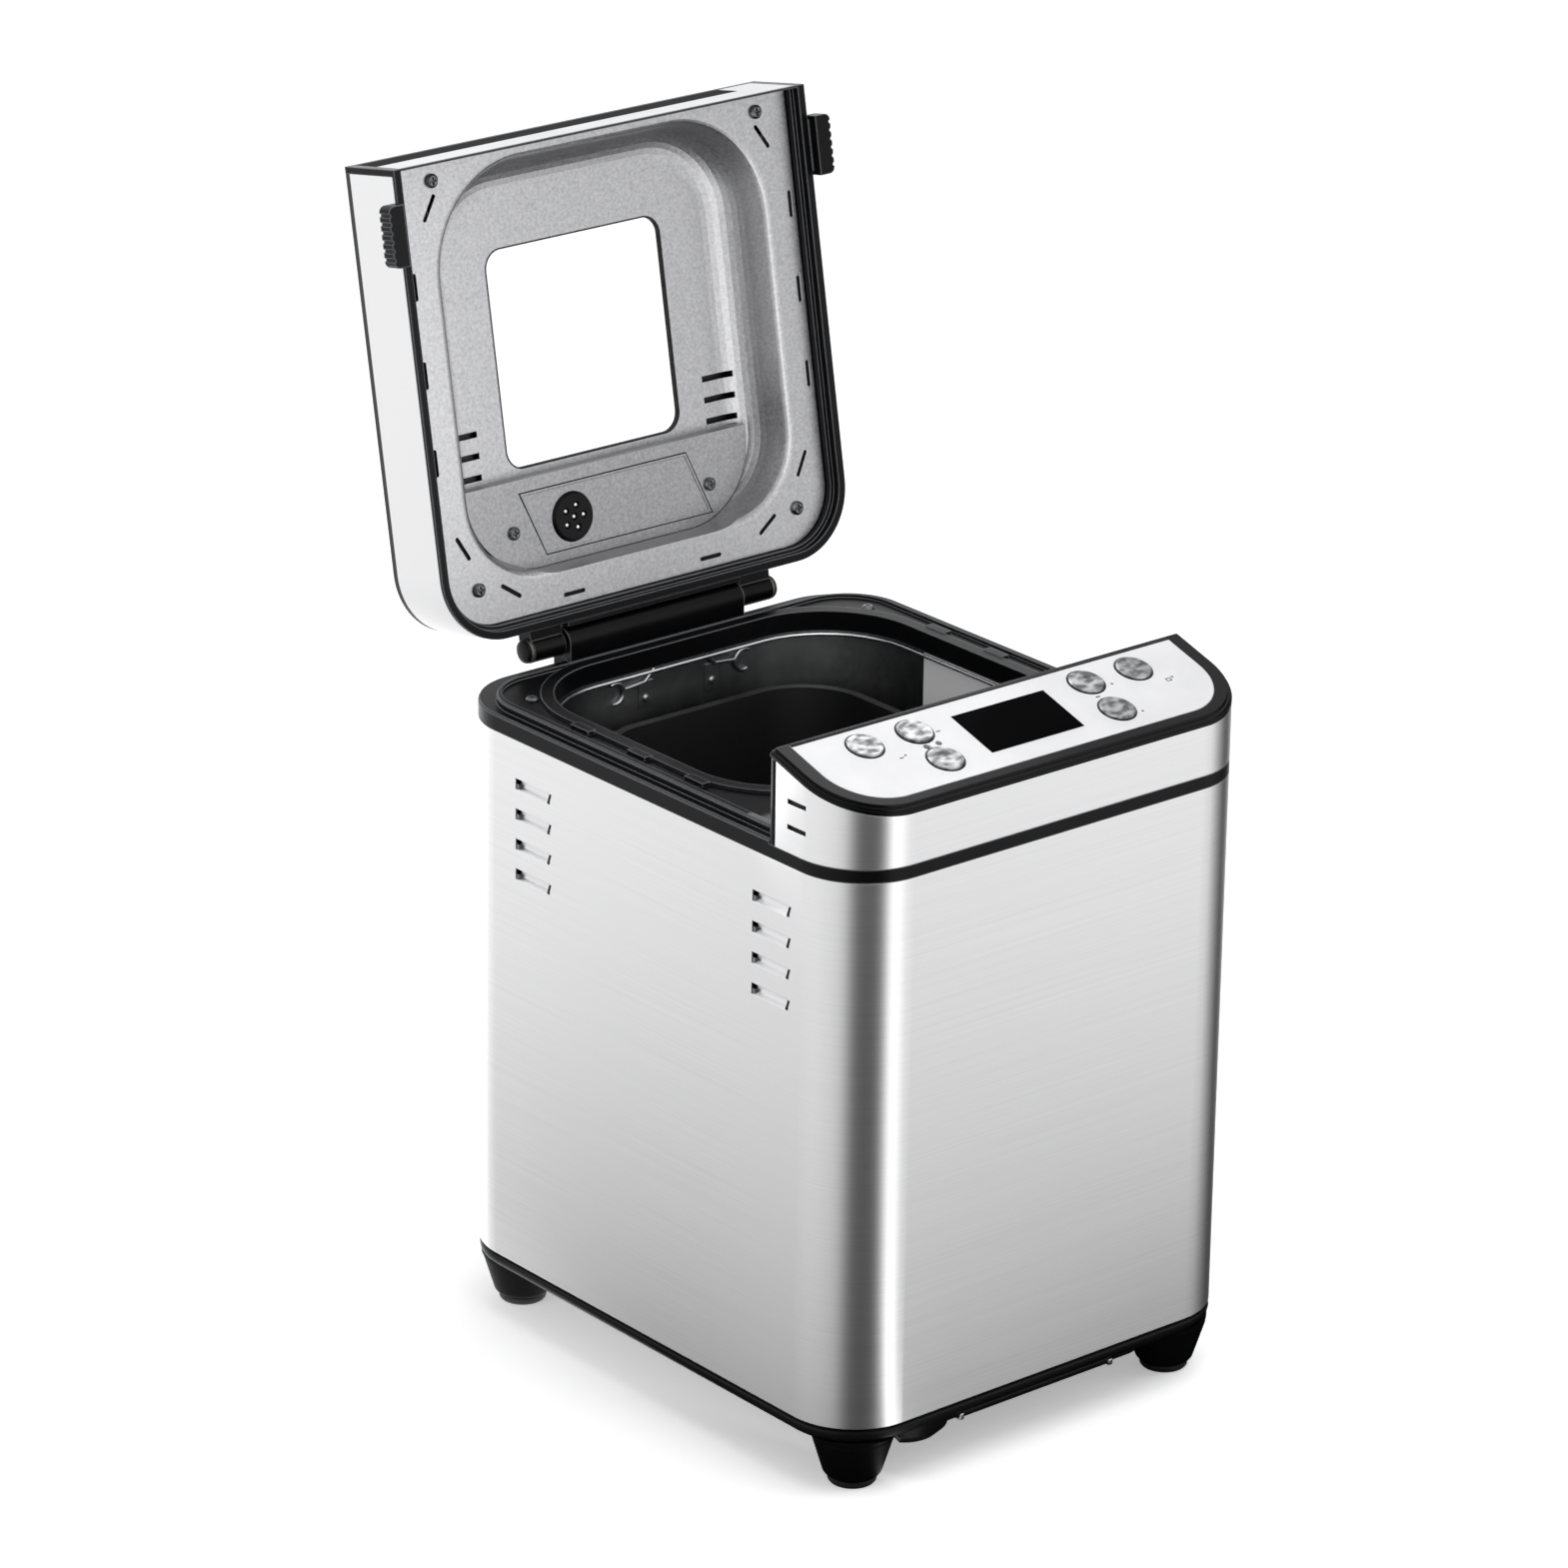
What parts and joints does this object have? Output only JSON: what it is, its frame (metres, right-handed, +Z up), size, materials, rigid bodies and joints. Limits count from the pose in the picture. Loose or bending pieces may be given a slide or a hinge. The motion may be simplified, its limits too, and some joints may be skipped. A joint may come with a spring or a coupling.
{
  "type": "bread machine",
  "caption": "Upright bread maker: brushed steel body on tapered legs, sloping control panel, windowed lid standing open over a lift-out pan.",
  "frame": {"origin": "on the table, under the middle of the machine's outline with its lid open", "axes": "+X to the machine's right, +Y to its back, +Z up"},
  "size_m": [0.241, 0.3384, 0.5065],
  "materials": {
    "steel_skin": "brushed",
    "black_moulding": "satin",
    "gloss_black": "gloss",
    "chamber_steel": "satin",
    "bright_steel": "satin",
    "nonstick": "satin",
    "cast_aluminium": "cast",
    "inner_panel": "satin",
    "panel_silver": "satin",
    "button_silver": "satin",
    "window_glass": "clear",
    "display_glass": "gloss",
    "lens_red": "gloss",
    "rubber_black": "matt",
    "board_green": "satin",
    "ceramic": "matt",
    "bush_cream": "satin",
    "element_steel": "matt",
    "capacitor_white": "satin"
  },
  "bodies": {
    "body": {"base_tray": "black_moulding", "legs": "black_moulding", "foot_pads": "rubber_black", "base_screws": "bright_steel", "body_wrap": "steel_skin", "rear_seam_strip": "steel_skin", "cord_gland": "black_moulding", "top_frame": "black_moulding", "deck_screws": "bright_steel", "collar": "black_moulding", "chamber": "chamber_steel", "pan_springs": "bright_steel", "spring_rivets": "bright_steel", "heating_element": "element_steel", "heater_clips": "bright_steel", "heater_terminals": "ceramic", "temperature_sensor": "bright_steel", "drive_frame": "bright_steel", "bearing_housing": "cast_aluminium", "drive_belt": "rubber_black", "motor": "bright_steel", "motor_spacers": "black_moulding", "run_capacitor": "capacitor_white", "power_board": "board_green", "housing_shell": "black_moulding", "housing_skin": "steel_skin", "panel_bezel": "gloss_black", "panel_plate": "panel_silver", "control_board": "board_green", "display_module": "display_glass", "display_window": "display_glass", "indicator_lenses": "lens_red", "hinge_pins": "bright_steel"},
    "lid": {"lid_shell": "steel_skin", "lid_frame": "black_moulding", "lid_end_panel": "panel_silver", "lid_inner": "inner_panel", "lid_window": "window_glass", "window_gasket": "rubber_black", "vent_plate": "inner_panel", "steam_vent": "black_moulding", "lid_screws": "bright_steel", "lid_grips": "black_moulding", "hinge_bushes": "bush_cream"},
    "pan": {"bread_pan": "nonstick", "pan_base": "cast_aluminium"},
    "handle": {"pan_handle": "bright_steel"},
    "paddle": {"paddle_shaft": "bright_steel", "kneading_paddle": "nonstick"},
    "drive": {"drive_shaft": "bright_steel", "drive_coupling": "cast_aluminium", "large_pulley": "black_moulding"},
    "motor_rotor": {"motor_shaft": "bright_steel", "motor_pulley": "cast_aluminium"},
    "button_left_outer": {"button_left_outer": "button_silver"},
    "button_left_upper": {"button_left_upper": "button_silver"},
    "button_left_lower": {"button_left_lower": "button_silver"},
    "button_right_upper": {"button_right_upper": "button_silver"},
    "button_right_lower": {"button_right_lower": "button_silver"},
    "button_right_outer": {"button_right_outer": "button_silver"}
  },
  "joints": [
    {"name": "lid_hinge", "type": "hinge", "parent": "body", "child": "lid", "pos_m": [0, 0.10176, 0.2913], "axis": [-1, 0, 0], "range_deg": [-100.5, 0]},
    {"name": "pan_lift", "type": "slide", "parent": "body", "child": "pan", "axis": [0, 0, 1], "range_m": [0, 0.2]},
    {"name": "handle_swing", "type": "hinge", "parent": "pan", "child": "handle", "pos_m": [0, -0.00674, 0.251], "axis": [-1, 0, 0], "range_deg": [0, 90]},
    {"name": "press_left_outer", "type": "slide", "parent": "body", "child": "button_left_outer", "axis": [0, 0.289, -0.9573], "range_m": [0, 0.001], "stiffness_N_per_m": 600, "springref_m": -0.0005},
    {"name": "press_left_upper", "type": "slide", "parent": "body", "child": "button_left_upper", "axis": [0, 0.289, -0.9573], "range_m": [0, 0.001], "stiffness_N_per_m": 600, "springref_m": -0.0005},
    {"name": "press_left_lower", "type": "slide", "parent": "body", "child": "button_left_lower", "axis": [0, 0.289, -0.9573], "range_m": [0, 0.001], "stiffness_N_per_m": 600, "springref_m": -0.0005},
    {"name": "press_right_upper", "type": "slide", "parent": "body", "child": "button_right_upper", "axis": [0, 0.289, -0.9573], "range_m": [0, 0.001], "stiffness_N_per_m": 600, "springref_m": -0.0005},
    {"name": "press_right_lower", "type": "slide", "parent": "body", "child": "button_right_lower", "axis": [0, 0.289, -0.9573], "range_m": [0, 0.001], "stiffness_N_per_m": 600, "springref_m": -0.0005},
    {"name": "press_right_outer", "type": "slide", "parent": "body", "child": "button_right_outer", "axis": [0, 0.289, -0.9573], "range_m": [0, 0.001], "stiffness_N_per_m": 600, "springref_m": -0.0005},
    {"name": "drive_spin", "type": "hinge", "parent": "body", "child": "drive", "pos_m": [0, -0.00674, 0.047], "axis": [0, 0, 1], "continuous": true},
    {"name": "motor_spin", "type": "hinge", "parent": "body", "child": "motor_rotor", "pos_m": [0, -0.13324, 0.047], "axis": [0, 0, 1], "continuous": true},
    {"name": "paddle_spin", "type": "hinge", "parent": "pan", "child": "paddle", "pos_m": [0, -0.00674, 0.112], "axis": [0, 0, 1], "continuous": true}
  ],
  "couplings": [
    {"joint": "motor_spin", "follows": "drive_spin", "ratio": 4.8889},
    {"joint": "paddle_spin", "follows": "drive_spin", "ratio": 1}
  ]
}
